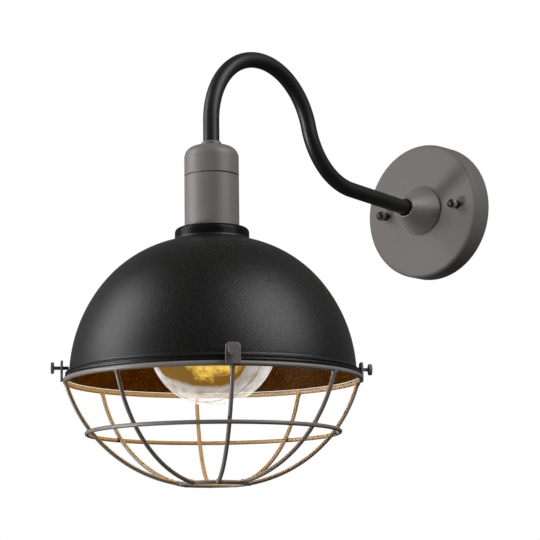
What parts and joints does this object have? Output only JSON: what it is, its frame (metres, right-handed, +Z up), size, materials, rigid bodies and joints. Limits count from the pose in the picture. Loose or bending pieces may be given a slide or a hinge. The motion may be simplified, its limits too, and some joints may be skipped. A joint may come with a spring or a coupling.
{
  "type": "cage wall light",
  "caption": "Gooseneck wall light with a round wall plate, a bent tube arm, a dome shade on a socket housing, a clear globe bulb and a round wire cage on thumbscrews.",
  "frame": {"origin": "centre of the wall plate's back face, on the wall, between the two box screws", "axes": "+Z up; +Y into the wall, so the lamp hangs out towards -Y; +X to the right as seen from the room"},
  "size_m": [0.2888, 0.5104, 0.4427],
  "materials": {
    "grey_coat": "satin",
    "black_coat": "satin",
    "zinc_steel": "zinc plated",
    "green_screw": "semi gloss",
    "brass": "bright",
    "copper": "bare copper",
    "porcelain": "glazed",
    "black_insulation": "matte",
    "white_insulation": "matte",
    "connector_plastic": "gloss",
    "clear_glass": "clear",
    "black_glass": "gloss",
    "filament": "glowing wire"
  },
  "bodies": {
    "fixture": {"wall_plate": "grey_coat", "mounting_strap": "zinc_steel", "mounting_studs": "zinc_steel", "stud_nuts": "zinc_steel", "arm_cone": "grey_coat", "arm_washer": "zinc_steel", "arm_locknut": "zinc_steel", "ground_screw": "green_screw", "ground_lead": "copper", "lead_live": "black_insulation", "lead_neutral": "white_insulation", "wire_connectors": "connector_plastic", "gooseneck_arm": "black_coat", "cap_collar": "grey_coat", "collar_grub_screw": "zinc_steel", "socket_cap": "grey_coat", "cap_nut": "zinc_steel", "lampholder_bracket": "zinc_steel", "bracket_screws": "zinc_steel", "socket_sleeve": "grey_coat", "lampholder_body": "porcelain", "terminal_screws": "brass", "lampholder_shell": "brass", "lampholder_contact": "brass", "shade_ring": "black_coat", "shade": "black_coat"},
    "cage": {"cage_top_ring": "grey_coat", "cage_mid_ring": "grey_coat", "cage_bottom_ring": "grey_coat", "cage_rib_1": "grey_coat", "cage_rib_2": "grey_coat", "cage_rib_3": "grey_coat", "cage_rib_4": "grey_coat", "cage_rib_5": "grey_coat", "cage_rib_6": "grey_coat", "cage_rib_7": "grey_coat", "cage_rib_8": "grey_coat", "cage_tab_1": "grey_coat", "cage_tab_2": "grey_coat", "cage_tab_3": "grey_coat", "cage_tab_4": "grey_coat"},
    "thumbscrew_1": {"thumbscrew_1": "grey_coat"},
    "thumbscrew_2": {"thumbscrew_2": "grey_coat"},
    "thumbscrew_3": {"thumbscrew_3": "grey_coat"},
    "thumbscrew_4": {"thumbscrew_4": "grey_coat"},
    "bulb": {"bulb_glass": "clear_glass", "bulb_base": "zinc_steel", "bulb_insulator": "black_glass", "bulb_contact": "zinc_steel", "bulb_stem": "clear_glass", "bulb_filament": "filament"},
    "ball_nut_left": {"ball_nut_left": "grey_coat"},
    "ball_nut_right": {"ball_nut_right": "grey_coat"}
  },
  "joints": [
    {"name": "cage_turn", "type": "hinge", "parent": "fixture", "child": "cage", "pos_m": [0, -0.366, -0.216], "axis": [0, 0, 1], "continuous": true},
    {"name": "bulb_out", "type": "slide", "parent": "fixture", "child": "bulb", "axis": [0, 0, -1], "range_m": [0, 0.026]},
    {"name": "thumbscrew_1_out", "type": "slide", "parent": "cage", "child": "thumbscrew_1", "axis": [0.766, -0.6428, 0], "range_m": [0, 0.006]},
    {"name": "thumbscrew_2_out", "type": "slide", "parent": "cage", "child": "thumbscrew_2", "axis": [0.6428, 0.766, 0], "range_m": [0, 0.006]},
    {"name": "thumbscrew_3_out", "type": "slide", "parent": "cage", "child": "thumbscrew_3", "axis": [-0.766, 0.6428, 0], "range_m": [0, 0.006]},
    {"name": "thumbscrew_4_out", "type": "slide", "parent": "cage", "child": "thumbscrew_4", "axis": [-0.6428, -0.766, 0], "range_m": [0, 0.006]},
    {"name": "ball_nut_left_out", "type": "slide", "parent": "fixture", "child": "ball_nut_left", "axis": [0, -1, 0], "range_m": [0, 0.007]},
    {"name": "ball_nut_right_out", "type": "slide", "parent": "fixture", "child": "ball_nut_right", "axis": [0, -1, 0], "range_m": [0, 0.007]}
  ]
}
